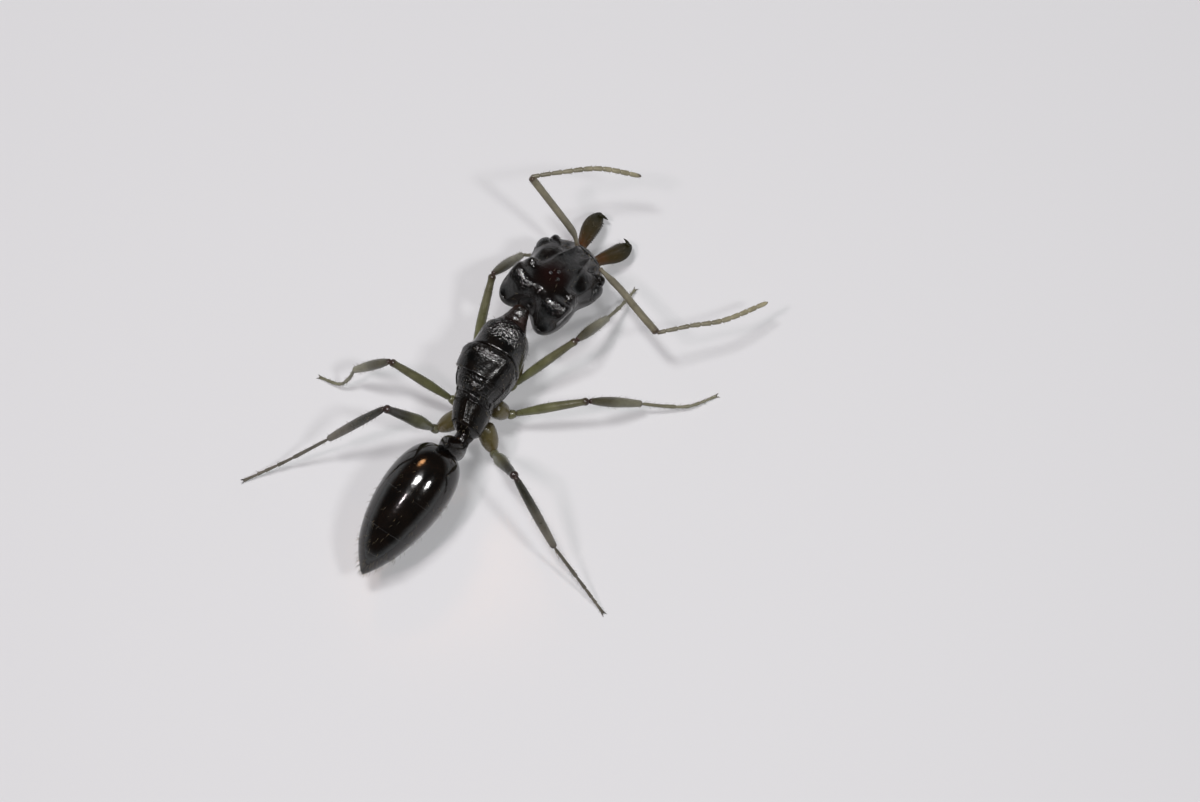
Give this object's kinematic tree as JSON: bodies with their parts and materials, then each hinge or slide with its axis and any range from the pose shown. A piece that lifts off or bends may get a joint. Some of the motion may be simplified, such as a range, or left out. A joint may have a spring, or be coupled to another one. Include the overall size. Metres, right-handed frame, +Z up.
{
  "type": "ant",
  "caption": "Still, life-size museum model of a black trap-jaw ant that has shed her wings, standing on six spread legs with open jaws and bent feelers",
  "frame": {"origin": "on the floor, under the middle of the whole ant's box", "axes": "+Z up from the floor; head and jaws towards -Y; the ant's left side towards +X"},
  "size_m": [0.0116, 0.0139, 0.0041],
  "materials": {
    "body_shell": "polished black insect shell with a faint red-brown depth",
    "gaster_shell": "mirror-smooth brown-black insect shell",
    "leg_shell": "satin olive insect shell, slightly clear, darker at the joints",
    "feeler_shell": "satin olive-brown insect shell with fine down",
    "jaw_shell": "polished shell, orange-brown at the root and olive-black at the tip",
    "eye": "black compound eye with fine facets",
    "hair": "fine pale-brown bristles"
  },
  "bodies": {
    "root": {"head_capsule": "body_shell", "neck": "body_shell", "pronotum": "body_shell", "mesopleura": "body_shell", "mesoscutum": "body_shell", "scutellum": "body_shell", "propodeum": "body_shell", "petiole": "body_shell", "gaster_segment_1": "gaster_shell", "gaster_segment_2": "gaster_shell", "gaster_segment_3": "gaster_shell", "gaster_segment_4": "gaster_shell", "left_fore_coxa": "leg_shell", "left_fore_femur": "leg_shell", "left_fore_tibia": "leg_shell", "left_fore_tarsus": "leg_shell", "right_fore_coxa": "leg_shell", "right_fore_femur": "leg_shell", "right_fore_tibia": "leg_shell", "right_fore_tarsus": "leg_shell", "left_mid_coxa": "leg_shell", "left_mid_femur": "leg_shell", "left_mid_tibia": "leg_shell", "left_mid_tarsus": "leg_shell", "right_mid_coxa": "leg_shell", "right_mid_femur": "leg_shell", "right_mid_tibia": "leg_shell", "right_mid_tarsus": "leg_shell", "left_hind_coxa": "leg_shell", "left_hind_femur": "leg_shell", "left_hind_tibia": "leg_shell", "left_hind_tarsus": "leg_shell", "right_hind_coxa": "leg_shell", "right_hind_femur": "leg_shell", "right_hind_tibia": "leg_shell", "right_hind_tarsus": "leg_shell", "eye_left": "eye", "eye_right": "eye", "mandible_left": "jaw_shell", "mandible_right": "jaw_shell", "mouthparts": "jaw_shell", "scape_left": "feeler_shell", "funiculus_left": "feeler_shell", "scape_right": "feeler_shell", "funiculus_right": "feeler_shell"}
  },
  "joints": []
}
